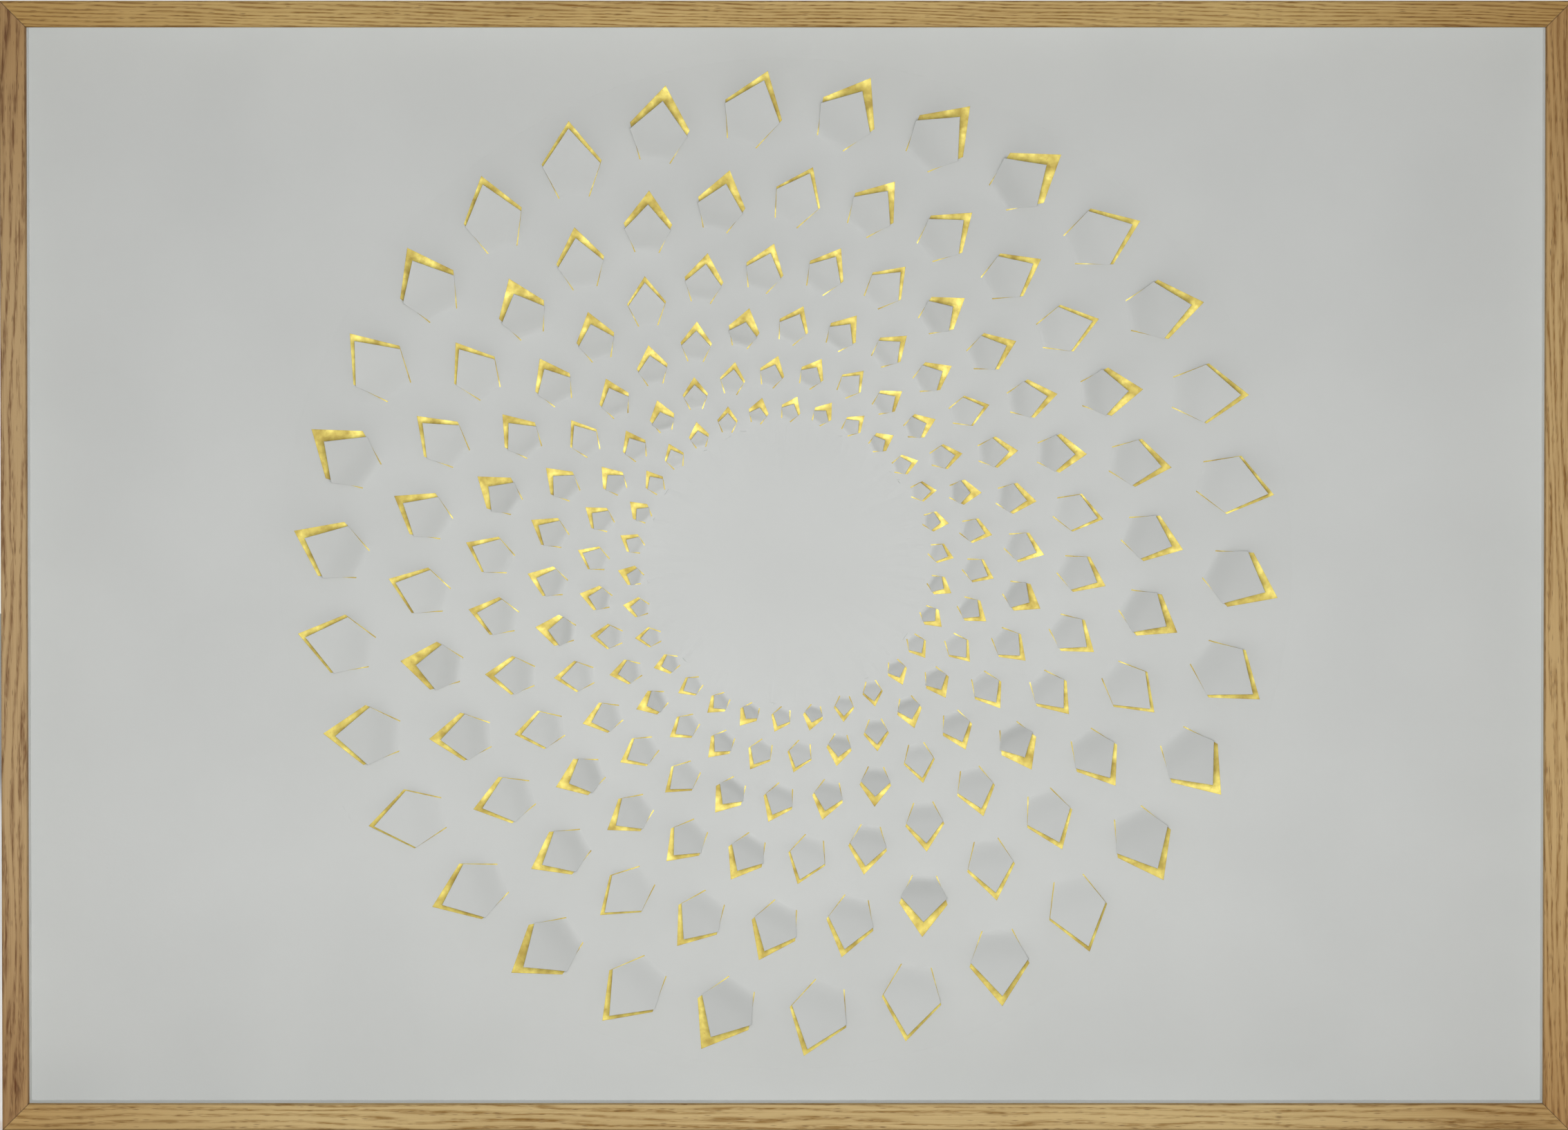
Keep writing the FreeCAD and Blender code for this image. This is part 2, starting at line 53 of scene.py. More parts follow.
def seen(red, green, blue):
    """A colour as the eye reads it, 0 to 255 a channel, as the linear values that a shader takes."""
    values = np.array([red, green, blue]) / 255
    linear = np.where(values <= 0.04045, values / 12.92, ((values + 0.055) / 1.055) ** 2.4)
    return (*linear.tolist(), 1.0)


def new_material(name, **settings):
    """A material with one Principled shader; gives the material, its node tree and the shader."""
    material = bpy.data.materials.new(name)
    material.use_nodes = True
    tree = material.node_tree
    shader = tree.nodes["Principled BSDF"]
    for socket, value in settings.items():
        shader.inputs[socket.replace("_", " ")].default_value = value
    return material, tree, shader


def plug(tree, socket, value):
    """Links an output to a socket, or sets the socket's plain value."""
    if isinstance(value, bpy.types.NodeSocket):
        tree.links.new(value, socket)
    else:
        socket.default_value = value


def add(tree, kind, feeds=(), output=0, **settings):
    """A new node; feeds are pairs of an input, by name or number, and what goes in. Gives one output."""
    node = tree.nodes.new(f"ShaderNode{kind}")
    for setting, value in settings.items():
        setattr(node, setting, value)
    for socket, value in feeds:
        plug(tree, node.inputs[socket], value)
    return node.outputs[output]


def reckon(tree, operation, first, second=0.0):
    """One step of arithmetic on two values."""
    return add(tree, "Math", [(0, first), (1, second)], operation=operation)


def between(tree, value, low, high, least=0.0, most=1.0):
    """A value's run from low to high, stretched to run from least to most and held at both ends."""
    feeds = [("Value", value), ("From Min", low), ("From Max", high), ("To Min", least), ("To Max", most)]
    return add(tree, "MapRange", feeds)


def blend_colours(tree, share, first, second, mode="MIX"):
    """The first colour with a share of the second laid over it."""
    feeds = [(0, share), (6, first), (7, second)]
    return add(tree, "Mix", feeds, output=2, data_type="RGBA", blend_type=mode)


def place_in_piece(tree):
    """The place of a point of the surface, in metres in the part's own frame."""
    return add(tree, "TexCoord", output=3)


def stretched(tree, spot, scale, shift=(0, 0, 0), turn=(0, 0, 0)):
    """The place turned, shifted and scaled, so that one noise can be drawn out along the grain."""
    return add(tree, "Mapping", [(0, spot), ("Location", shift), ("Rotation", turn), ("Scale", scale)])


def split(tree, spot):
    """The three parts of a place."""
    parts = tree.nodes.new("ShaderNodeSeparateXYZ")
    tree.links.new(spot, parts.inputs[0])
    return parts.outputs[0], parts.outputs[1], parts.outputs[2]


def noise(tree, spot, scale=1.0, detail=2.0, roughness=0.5):
    """Smooth noise from 0 to 1 that averages one half."""
    feeds = [("Vector", spot), ("Scale", scale), ("Detail", detail), ("Roughness", roughness)]
    return add(tree, "TexNoise", feeds)


def raise_by(tree, height, distance, strength=1.0):
    """A normal for a height from 0 to 1 that stands for a real distance in metres."""
    return add(tree, "Bump", [("Strength", strength), ("Distance", distance), ("Height", height)])


def dress(name, material):
    """Gives a node of the CAD model its finish."""
    slots = nodes[name].data.materials
    slots.clear()
    slots.append(material)


outer_low, outer_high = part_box("rail_left")[0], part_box("rail_right")[1]
frame_middle = (outer_low + outer_high) / 2
half_width = outer_high.x - frame_middle.x
half_height = outer_high.z - frame_middle.z
frame_front = outer_low.y
FACE_WIDTH = 12 * MM
# How far in from each front arris the painted shade reaches
ARRIS_SHADE_REACH = 0.9 * MM
JOINT_LINE = 0.09 * MM
OIL_REACH = 130 * MM
PORE_LENGTH = 5.0 * MM
PORE_WIDTH = 0.55 * MM
GRAIN_RELIEF = 0.12 * MM

# Waves a metre along the rail, in its depth and across it
WAVER_SCALE = (9, 90, 90)
FIBRE_SCALE = (14, 1700, 1700)
DASH_SCALE = (110, 1300, 1300)
CLOUD_SCALE = (6, 60, 60)

# How far a ring wavers, in ring widths, and how much it moves across for each step into the depth
RING_WAVER = 4.0
RING_SLOPE = 0.4

OIL_TINT = (0.77, 0.64, 0.47, 1.0)
PORE_BROWN = seen(92, 60, 30)
JOINT_BROWN = seen(66, 44, 26)
# The colour of the painted shade along the front arrises
ARRIS_SHADE_BROWN = seen(84, 58, 30)


def oak(name, pale, dark, upright, shift, ring_width, lean):
    """Oak along its rail: rings cut at a slight lean, fibres, dashes, and pores where a ring is dark.

    A ring's phase is the fraction of (across + slope * depth + lean * along + waver) / ring width, and the
    wood darkens toward the middle of the phase, where |2 phase - 1| nears nought.
    """
    material, tree, shader = new_material(name, Roughness=0.55, Specular_IOR_Level=0.22)
    spot = place_in_piece(tree)
    turn = (0, math.pi / 2, 0) if upright else (0, 0, 0)
    laid = stretched(tree, spot, (1, 1, 1), shift=shift, turn=turn)
    along, depth, across = split(tree, laid)

    swing = noise(tree, stretched(tree, laid, WAVER_SCALE), detail=2)
    waver = reckon(tree, "MULTIPLY", swing, RING_WAVER * ring_width)
    leaned = reckon(tree, "ADD", reckon(tree, "MULTIPLY", along, lean), waver)
    sloped = reckon(tree, "ADD", across, reckon(tree, "MULTIPLY", depth, RING_SLOPE))
    distance = reckon(tree, "ADD", sloped, leaned)
    phase = reckon(tree, "FRACT", reckon(tree, "DIVIDE", distance, ring_width))
    ridge = reckon(tree, "ABSOLUTE", reckon(tree, "SUBTRACT", reckon(tree, "MULTIPLY", phase, 2.0), 1.0))
    late_wood = between(tree, ridge, 0.75, 0.15)

    fibres = noise(tree, stretched(tree, laid, FIBRE_SCALE), detail=3, roughness=0.65)
    dashes = noise(tree, stretched(tree, laid, DASH_SCALE), detail=2, roughness=0.6)
    cloud = noise(tree, stretched(tree, laid, CLOUD_SCALE), detail=2)
    ringed = reckon(tree, "MULTIPLY", late_wood, between(tree, dashes, 0.36, 0.62, 0.1, 0.8))
    threads = between(tree, fibres, 0.3, 0.7, -0.14, 0.24)
    clouded = between(tree, cloud, 0.3, 0.7, -0.15, 0.2)
    tone = reckon(tree, "ADD", ringed, reckon(tree, "ADD", threads, clouded))
    wood = blend_colours(tree, between(tree, tone, 0.0, 1.0), pale, dark)

    # A pore is a cell of stretched space; some cells hold one, most of them where the ring is dark
    cells = stretched(tree, laid, (1 / PORE_LENGTH, 1 / PORE_WIDTH, 1 / PORE_WIDTH))
    from_pore = add(tree, "TexVoronoi", [("Vector", cells), ("Scale", 1.0), ("Randomness", 0.9)])
    lot = add(tree, "TexVoronoi", [("Vector", cells), ("Scale", 1.0), ("Randomness", 0.9)], output=1)
    draw = add(tree, "SeparateColor", [(0, lot)])
    chosen = between(tree, reckon(tree, "ADD", draw, reckon(tree, "MULTIPLY", late_wood, 0.45)), 0.86, 0.95)
    open_pore = reckon(tree, "MULTIPLY", between(tree, from_pore, 0.15, 0.42, 1.0, 0.0), chosen)
    pored = blend_colours(tree, reckon(tree, "MULTIPLY", open_pore, 0.6), wood, PORE_BROWN)

    # The mitre is where a point is as far in from the side as it is from the top or bottom
    sideways, front_to_back, up = split(tree, spot)
    from_side = reckon(tree, "ABSOLUTE", reckon(tree, "SUBTRACT", sideways, frame_middle.x))
    from_level = reckon(tree, "ABSOLUTE", reckon(tree, "SUBTRACT", up, frame_middle.z))
    further_in = reckon(tree, "SUBTRACT", from_side, from_level)
    off_mitre = reckon(tree, "SUBTRACT", further_in, half_width - half_height)
    from_corner = reckon(tree, "ABSOLUTE", off_mitre)

    # The cut ends drink more oil, so the wood turns darker and warmer toward the mitres
    oiled = between(tree, from_corner, 0.0, OIL_REACH, 0.8, 0.0)
    warm = blend_colours(tree, oiled, pored, OIL_TINT, "MULTIPLY")
    in_joint = between(tree, from_corner, JOINT_LINE, 4 * JOINT_LINE, 0.8, 0.0)
    jointed = blend_colours(tree, in_joint, warm, JOINT_BROWN)

    # Painted shade: the two front arrises are a little darker. This stands for the shadow on the rounded
    # outer edge and under the lip at the sight edge
    if upright:
        from_outside = reckon(tree, "SUBTRACT", half_width, from_side)
    else:
        from_outside = reckon(tree, "SUBTRACT", half_height, from_level)
    from_lip = reckon(tree, "ABSOLUTE", reckon(tree, "SUBTRACT", from_outside, FACE_WIDTH))
    nearer = reckon(tree, "MINIMUM", from_outside, from_lip)
    from_front = reckon(tree, "SUBTRACT", front_to_back, frame_front)
    arris_shade = between(tree, reckon(tree, "MAXIMUM", nearer, from_front), 0.0, ARRIS_SHADE_REACH, 0.55, 0.0)
    colour = blend_colours(tree, arris_shade, jointed, ARRIS_SHADE_BROWN)

    plug(tree, shader.inputs["Base Color"], colour)
    plug(tree, shader.inputs["Roughness"], between(tree, fibres, 0.3, 0.7, 0.47, 0.6))
    pitted = reckon(tree, "MULTIPLY", open_pore, -0.7)
    dip = reckon(tree, "ADD", pitted, reckon(tree, "MULTIPLY", fibres, 0.3))
    plug(tree, shader.inputs["Normal"], raise_by(tree, dip, GRAIN_RELIEF, 0.6))
    return material


# Each rail has its own tone and width of rings. The bottom rail's colours are the palest, so the frame is
# lighter at the bottom
top_oak = oak(
    "oak_top", pale=seen(202, 171, 107), dark=seen(132, 92, 24), upright=False,
    shift=(0.1, 0.7, 0.2), ring_width=1.7 * MM, lean=0.030,
)
bottom_oak = oak(
    "oak_bottom", pale=seen(205, 178, 123), dark=seen(140, 103, 38), upright=False,
    shift=(3.3, 0.2, 1.4), ring_width=3.4 * MM, lean=0.018,
)
left_oak = oak(
    "oak_left", pale=seen(187, 156, 110), dark=seen(106, 64, 22), upright=True,
    shift=(5.6, 1.3, 2.7), ring_width=4.6 * MM, lean=0.030,
)
right_oak = oak(
    "oak_right", pale=seen(197, 164, 110), dark=seen(132, 90, 30), upright=True,
    shift=(8.1, 2.4, 0.9), ring_width=3.2 * MM, lean=-0.035,
)
dress("rail_top", top_oak)
dress("rail_bottom", bottom_oak)
dress("rail_left", left_oak)
dress("rail_right", right_oak)


# Corner nails and framer's points: bare steel strip. The nails are driven into the mitres from behind, two
# deep, and the points are pushed into the rebate's wall and lie on the back board.

DULL_STEEL = seen(118, 116, 112)


def steel(name, bright, roughness, scratch_scale):
    """Rolled or plated steel with fine scratches and a slightly uneven dullness."""
    material, tree, shader = new_material(name, Metallic=1.0)
    spot = place_in_piece(tree)
    dull = noise(tree, spot, 260, 3)
    scratches = noise(tree, stretched(tree, spot, scratch_scale), detail=3, roughness=0.6)
    plug(tree, shader.inputs["Base Color"], blend_colours(tree, dull, bright, DULL_STEEL))
    plug(tree, shader.inputs["Roughness"], between(tree, dull, 0.3, 0.7, roughness - 0.06, roughness + 0.1))
    plug(tree, shader.inputs["Normal"], raise_by(tree, scratches, 0.02 * MM, 0.5))
    return material


strip_steel = steel("strip_steel", seen(168, 167, 163), 0.42, (300, 2500, 2500))
dress("corner_nails", strip_steel)
dress("framers_points", strip_steel)


# The pane: coated picture glass 2 mm thick, held against the rails' lip by the spacers. It reflects next to
# nothing from the front and more and more toward a grazing look.

GRAZING_MIRROR = 0.9

pane_glass, tree, shader = new_material("pane_glass", Metallic=1.0, Roughness=0.03)
shader.inputs["Base Color"].default_value = seen(236, 244, 241)
tilt = add(tree, "LayerWeight", [("Blend", 0.5)], output=1)
rise_to_grazing = reckon(tree, "POWER", tilt, 4.0)
plug(tree, shader.inputs["Alpha"], reckon(tree, "MULTIPLY", rise_to_grazing, GRAZING_MIRROR))
dress("glazing", pane_glass)

# Picture glass passes the light: it throws no shadow, and what the paper scatters goes through it
nodes["glazing"].visible_shadow = False
nodes["glazing"].visible_diffuse = False


# Spacers: strips of white foamed plastic, cut to length, along the inside of the frame. They stand between
# the pane and the cut sheet and keep the glass off the lifted paper.

SOILING = 0.94


def white_board(name, tint, grain, height):
    """Matt white board or strip with a fine even grain and faint soiling."""
    material, tree, shader = new_material(name, Roughness=0.75, Specular_IOR_Level=0.2)
    spot = place_in_piece(tree)
    cloud = noise(tree, spot, 35, 3)
    fine = noise(tree, spot, grain, 4, 0.6)
    soiled = tuple(SOILING * channel for channel in tint[:3]) + (1.0,)
    clouded = blend_colours(tree, between(tree, cloud, 0.35, 0.65), tint, soiled)
    plug(tree, shader.inputs["Base Color"], clouded)
    plug(tree, shader.inputs["Normal"], raise_by(tree, fine, height, 0.5))
    return material


spacer_white = white_board("spacer_white", seen(236, 236, 233), 2600, 0.04 * MM)
for side in ("top", "bottom", "left", "right"):
    dress(f"spacer_{side}", spacer_white)


# The cut sheet: one sheet of heavy white paper, half a millimetre thick. Lozenge leaves are cut through it
# with four strokes of the knife each and bent up at their inner ends, in spiral arms round an open middle.
# The paper swells a little between the rows and dips along the circles where the leaves are folded.

LEAF_ROWS = 6
LEAF_ARMS = 30
ARM_SLANT = 0.5
FIRST_ROW = 66 * MM
FIELD_MARGIN = 10 * MM
LENGTH_SHARE = 0.68
WIDTH_SHARE = 0.68
BELLY_SHARE = 0.46
HINGE_SHARE = 0.52
KNIFE_GAP = 0.6 * MM
PAPER_THICKNESS = 0.5 * MM
INNER_LIFT = math.radians(46)
LIFT_UNEVENNESS = math.radians(11)
PANE_CLEARANCE = 1 * MM
SWELL = 0.8 * MM

sheet_low, sheet_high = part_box("cut_sheet")
sheet_half_width = (sheet_high.x - sheet_low.x) / 2
sheet_half_height = (sheet_high.z - sheet_low.z) / 2
sheet_front = sheet_high.y - PAPER_THICKNESS
field_radius = sheet_half_height - FIELD_MARGIN
growth = (field_radius / FIRST_ROW) ** (1 / LEAF_ROWS)
pitch = 2 * math.pi / LEAF_ARMS
slant = math.atan(ARM_SLANT * pitch / math.log(growth))
room = sheet_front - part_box("glazing")[1].y - PANE_CLEARANCE

row = np.repeat(np.arange(LEAF_ROWS), LEAF_ARMS)
arm = np.tile(np.arange(LEAF_ARMS), LEAF_ROWS)
radius = FIRST_ROW * growth**row
bearing = (arm + ARM_SLANT * row) * pitch
length = radius * (growth - 1) / math.cos(slant) * LENGTH_SHARE
half = radius * pitch * WIDTH_SHARE / 2

# Each leaf is bent by its own amount: two slow waves over the arms and rows stand for the unsteady hand
wave = 0.6 * np.sin(2.4 * arm + 1.7 * row) + 0.4 * np.sin(0.9 * arm + 4.1 * row)
outer_lift = min(INNER_LIFT, math.asin(min(1, room / length[-1])) - LIFT_UNEVENNESS)
lift = INNER_LIFT + (outer_lift - INNER_LIFT) * row / (LEAF_ROWS - 1) + LIFT_UNEVENNESS * wave


def swell(across, up):
    """How far the paper stands forward: a sine squared from fold circle to fold circle, larger outward."""
    distance = np.hypot(across, up)
    rows_out = np.log(np.maximum(distance, FIRST_ROW) / FIRST_ROW) / math.log(growth)
    wave_of_row = np.sin(math.pi * np.minimum(rows_out, LEAF_ROWS)) ** 2
    return SWELL * wave_of_row * distance / field_radius


def on_sheet(across, up):
    """Points of the sheet, from their place across and up from its middle: (..., 3) in metres."""
    forward = swell(across, up)
    return np.stack([across, sheet_front - forward, frame_middle.z + up], axis=-1)


def from_leaf(sideways, along, forward):
    """Places in a leaf's own frame (sideways, along it, toward the viewer), turned into the sheet's frame.

    A place is the middle of the leaf's fold on its row's circle, and from there steps sideways and along
    that are turned by the way the leaf faces. Gives the points and their places across and up.
    """
    facing = (bearing + slant)[:, None, None]
    at = bearing[:, None, None]
    reach = radius[:, None, None]
    across = reach * np.sin(at) + sideways * np.cos(facing) + along * np.sin(facing)
    up = reach * np.cos(at) - sideways * np.sin(facing) + along * np.cos(facing)
    points = on_sheet(across, up)
    points[..., 1] = sheet_front - forward
    return points, across, up


def grid_faces(first, rows_of_points, points_in_row, closed):
    """Quads between neighbouring rows of a grid whose points are numbered row by row from the first."""
    steps = points_in_row if closed else points_in_row - 1
    low = np.arange(rows_of_points - 1)[:, None] * points_in_row
    here = np.arange(steps)[None, :]
    there = (here + 1) % points_in_row
    corners = [low + here, low + there, low + points_in_row + there, low + points_in_row + here]
    return first + np.stack(corners, axis=-1).reshape(-1, 4)


# Round each hole the paper is a ring of quads. Its inner loop is the cut, its outer loop the border of the
# leaf's cell, which runs along two circles and two spirals, and the points between lie on straight lines.
ACROSS_BASE = 8
UP_SIDE = 6
RING_STEPS = 4
CELL_LEAD = 0.16

base_steps = np.linspace(-1, 1, ACROSS_BASE - 1)
flank = np.linspace(0, 1, UP_SIDE + ACROSS_BASE // 2 + 1)
below_belly = flank * 2 * BELLY_SHARE
above_belly = BELLY_SHARE + (flank * 2 - 1) * (1 - BELLY_SHARE)
flank_height = np.where(flank < 0.5, below_belly, above_belly)
flank_width = np.interp(flank_height, [0, BELLY_SHARE, 1], [HINGE_SHARE, 1, 0])
gap = (KNIFE_GAP / half)[:, None]
base_inner = base_steps[None, :] * (HINGE_SHARE - gap)
ones = np.ones((len(row), 1))
up_right, down_left = ones * flank_width[None, :-1], -ones * flank_width[None, :0:-1]
loop_x = np.concatenate([-HINGE_SHARE * ones, base_inner, up_right, down_left], axis=1)
rising, falling = ones * flank_height[None, :-1], ones * flank_height[None, :0:-1]
loop_y = np.concatenate([0 * ones, 0 * base_inner, rising, falling], axis=1)
_, hole_across, hole_up = from_leaf(
    (loop_x * half[:, None])[:, None, :], (loop_y * length[:, None])[:, None, :], 0.0
)

v_base = np.linspace(-0.5, 0.5, ACROSS_BASE + 1)
u_side = np.linspace(0, 1, UP_SIDE + 1)
cell_v = np.concatenate([v_base[:-1], 0.5 + 0 * u_side[:-1], v_base[:0:-1], -0.5 + 0 * u_side[:-1]])
cell_u = np.concatenate([0 * v_base[:-1], u_side[:-1], 1 + 0 * v_base[:-1], 1 - u_side[:-1]]) - CELL_LEAD
cell_rows_out = row[:, None] + cell_u
cell_bearing = (arm[:, None] + cell_v + ARM_SLANT * cell_rows_out) * pitch
cell_radius = FIRST_ROW * growth**cell_rows_out
cell_across = (cell_radius * np.sin(cell_bearing))[:, None, :]
cell_up = (cell_radius * np.cos(cell_bearing))[:, None, :]
share = np.linspace(0, 1, RING_STEPS + 1)[None, :, None]
ring_points = on_sheet(
    cell_across + (hole_across - cell_across) * share, cell_up + (hole_up - cell_up) * share
)

# Each leaf is a grid from its fold to its tip. Its slope grows over a soft fold, then relaxes toward the
# tip, and it bows a little across. A point's place along and forward is the running sum of the slope's
# cosine and sine.
STATIONS_TO_BELLY = 7
STATIONS_TO_TIP = 7
CROWDING_AT_FOLD = 1.7
FOLD_LENGTH = 2.4 * MM
FOLD_SHARE = 0.16
RELAXING = 0.16
BOW = 0.07
BOW_STARTS = 0.3
to_belly = BELLY_SHARE * np.linspace(0, 1, STATIONS_TO_BELLY) ** CROWDING_AT_FOLD
to_tip = BELLY_SHARE + (1 - BELLY_SHARE) * np.linspace(0, 1, STATIONS_TO_TIP)[1:]
stations = np.concatenate([to_belly, to_tip])
tip_share = 1 - gap * (1 - BELLY_SHARE)
past_belly = (stations - BELLY_SHARE) * (tip_share - BELLY_SHARE) / (1 - BELLY_SHARE)
reach = length[:, None] * np.where(stations <= BELLY_SHARE, stations, BELLY_SHARE + past_belly)
width_here = half[:, None] * np.where(
    stations <= BELLY_SHARE,
    HINGE_SHARE + (1 - HINGE_SHARE) * stations / BELLY_SHARE - gap,
    (1 - gap) * (1 - stations) / (1 - BELLY_SHARE),
)
fold = np.minimum(FOLD_LENGTH, FOLD_SHARE * length)[:, None]
eased = np.clip(reach / fold, 0, 1)
eased = eased * eased * (3 - 2 * eased)
relax = 1 + RELAXING * np.sin(1.3 * arm + 2.1 * row)[:, None] * (reach / length[:, None] - 0.5)
slope = lift[:, None] * eased * relax
mid_slope = (slope[:, 1:] + slope[:, :-1]) / 2
run = np.diff(reach, axis=1)
along = np.concatenate([0 * ones, np.cumsum(run * np.cos(mid_slope), axis=1)], axis=1)
forward = np.concatenate([0 * ones, np.cumsum(run * np.sin(mid_slope), axis=1)], axis=1)
bowed = BOW * width_here * np.clip(reach / (BOW_STARTS * length[:, None]), 0, 1) ** 2
sideways = width_here[:, :, None] * base_steps
lean = bowed[:, :, None] * (1 - base_steps**2)
leaf_points, leaf_across, leaf_up = from_leaf(
    sideways,
    along[:, :, None] - lean * np.sin(slope)[:, :, None],
    forward[:, :, None] + lean * np.cos(slope)[:, :, None],
)
base_swell = swell(leaf_across[:, :1], leaf_up[:, :1])
leaf_points[..., 1] -= base_swell

# Inside the first row the paper is a disc, and outside the last it runs from a circle to its straight edges
SPOKES = LEAF_ARMS * ACROSS_BASE
DISC_RINGS = 5
BORDER_RINGS = 7


def circle_of_cells(rows_out):
    """The places, across and up, and the bearings of the cells' corners and base points on one circle.

    The circle's radius is the first row's times the growth to the power of the rows out, and its points
    turn on by the arms' slant for each row.
    """
    turns = (np.arange(SPOKES) / ACROSS_BASE - 0.5 + ARM_SLANT * rows_out) * pitch
    distance = FIRST_ROW * growth**rows_out
    return distance * np.sin(turns), distance * np.cos(turns), turns


inner_across, inner_up, _ = circle_of_cells(-CELL_LEAD)
disc_share = np.linspace(0, 1, DISC_RINGS)[:, None]
disc_points = on_sheet(disc_share * inner_across, disc_share * inner_up)

outer_across, outer_up, outer_turns = circle_of_cells(LEAF_ROWS - CELL_LEAD)
to_edge = np.minimum(
    sheet_half_width / np.maximum(np.abs(np.sin(outer_turns)), 1e-9),
    sheet_half_height / np.maximum(np.abs(np.cos(outer_turns)), 1e-9),
)
edge_across = to_edge * np.sin(outer_turns)
edge_up = to_edge * np.cos(outer_turns)
for corner_x, corner_z in ((1, 1), (1, -1), (-1, -1), (-1, 1)):
    corner_across, corner_up = corner_x * sheet_half_width, corner_z * sheet_half_height
    nearest = np.argmin(np.hypot(edge_across - corner_across, edge_up - corner_up))
    edge_across[nearest], edge_up[nearest] = corner_across, corner_up
edge_share = np.linspace(0, 1, BORDER_RINGS)[:, None]
border_points = on_sheet(
    outer_across + (edge_across - outer_across) * edge_share, outer_up + (edge_up - outer_up) * edge_share
)

points = []
faces = []


def collect(grid, closed, flipped=False):
    """Adds one grid of points, or one for each leaf, and the quads between them, all facing the viewer."""
    grids = grid if grid.ndim == 4 else grid[None]
    for one in grids:
        first = sum(len(part) for part in points)
        quads = grid_faces(first, one.shape[0], one.shape[1], closed)
        points.append(one.reshape(-1, 3))
        faces.append(quads[:, ::-1] if flipped else quads)


collect(ring_points, closed=True)
collect(leaf_points, closed=False)
collect(disc_points, closed=True, flipped=True)
collect(border_points, closed=True, flipped=True)
points = np.concatenate(points)
faces = np.concatenate(faces)


def make_piece(name, points, faces, material, weld=2e-6):
    """A mesh object at the origin from points and faces, with points that share a place made one."""
    mesh = bpy.data.meshes.new(name)
    mesh.from_pydata(points.tolist(), [], faces.tolist())
    built = bmesh.new()
    built.from_mesh(mesh)
    bmesh.ops.remove_doubles(built, verts=built.verts, dist=weld)
    built.to_mesh(mesh)
    built.free()
    mesh.materials.append(material)
    piece = bpy.data.objects.new(name, mesh)
    bpy.context.scene.collection.objects.link(piece)
    return piece


SHARP_EDGE = math.radians(35)


def apply_modifiers(piece):
    """Makes the modifiers' result the piece's own mesh, smooth but for its sharp edges."""
    bpy.context.view_layer.update()
    with_modifiers = piece.evaluated_get(bpy.context.evaluated_depsgraph_get())
    finished = bpy.data.meshes.new_from_object(with_modifiers)
    piece.modifiers.clear()
    piece.data = finished
    finished.polygons.foreach_set("use_smooth", np.ones(len(finished.polygons), bool))
    finished.set_sharp_from_angle(angle=SHARP_EDGE)


PAPER_WHITE = seen(208, 210, 208)
PAPER_SHADE = seen(205, 207, 205)
PAPER_TOOTH = 0.06 * MM

white_paper, tree, shader = new_material("white_paper", Roughness=0.86, Specular_IOR_Level=0.18)
spot = place_in_piece(tree)
tooth = noise(tree, spot, 900, 1, 0.6)
fibre = noise(tree, spot, 3200, 0, 0.5)
cloud = noise(tree, spot, 14, 1)
paper_tint = blend_colours(tree, between(tree, cloud, 0.35, 0.65), PAPER_WHITE, PAPER_SHADE)
plug(tree, shader.inputs["Base Color"], paper_tint)
relief = reckon(tree, "ADD", reckon(tree, "MULTIPLY", tooth, 0.7), reckon(tree, "MULTIPLY", fibre, 0.3))
plug(tree, shader.inputs["Normal"], raise_by(tree, relief, PAPER_TOOTH, 0.5))

cut_paper = make_piece("cut_paper", points, faces, white_paper)
thicken = cut_paper.modifiers.new("thickness", "SOLIDIFY")
thicken.thickness = PAPER_THICKNESS
thicken.offset = -1
thicken.use_quality_normals = True
apply_modifiers(cut_paper)
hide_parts("cut_sheet")
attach(cut_paper, "root")


# The gilded card behind it: leaf laid on card and rubbed down, with soft mottling and fine breaks that let
# the warm ground through. Only what shows round the lifted leaves is seen.

BRIGHT_GOLD = seen(194, 179, 82)
DEEP_GOLD = seen(164, 141, 55)
WARM_GROUND = seen(150, 104, 44)
LEAF_WRINKLE = 0.12 * MM

gilding, tree, shader = new_material("gilding", Metallic=0.35, Specular_IOR_Level=0.5)
spot = place_in_piece(tree)
mottle = noise(tree, spot, 120, 5, 0.65)
flecks = noise(tree, spot, 900, 3, 0.6)
leaf_gold = blend_colours(tree, between(tree, mottle, 0.36, 0.66), BRIGHT_GOLD, DEEP_GOLD)
broken = between(tree, flecks, 0.62, 0.70, 0.0, 0.5)
plug(tree, shader.inputs["Base Color"], blend_colours(tree, broken, leaf_gold, WARM_GROUND))
plug(tree, shader.inputs["Roughness"], between(tree, mottle, 0.3, 0.7, 0.38, 0.55))
wrinkle = reckon(tree, "ADD", reckon(tree, "MULTIPLY", mottle, 0.6), reckon(tree, "MULTIPLY", flecks, 0.4))
plug(tree, shader.inputs["Normal"], raise_by(tree, wrinkle, LEAF_WRINKLE, 0.6))
dress("gold_sheet", gilding)


# The mount board: white foam board, a foamed core between two papers, cut to the picture's size. It lies
# behind the gilded card and keeps it flat.

dress("mount_board", white_board("foam_board", seen(232, 232, 228), 1500, 0.05 * MM))


# The back board: bare brown fibreboard with a smooth pressed face and a felted look, cut to size. It closes
# the frame from behind, and the framer's points hold it in.

FIBREBOARD_BROWN = seen(163, 130, 96)
FIBREBOARD_SHADE = seen(156, 123, 90)
DARK_FIBRES = seen(118, 88, 60)
PALE_CHIPS = seen(190, 160, 124)

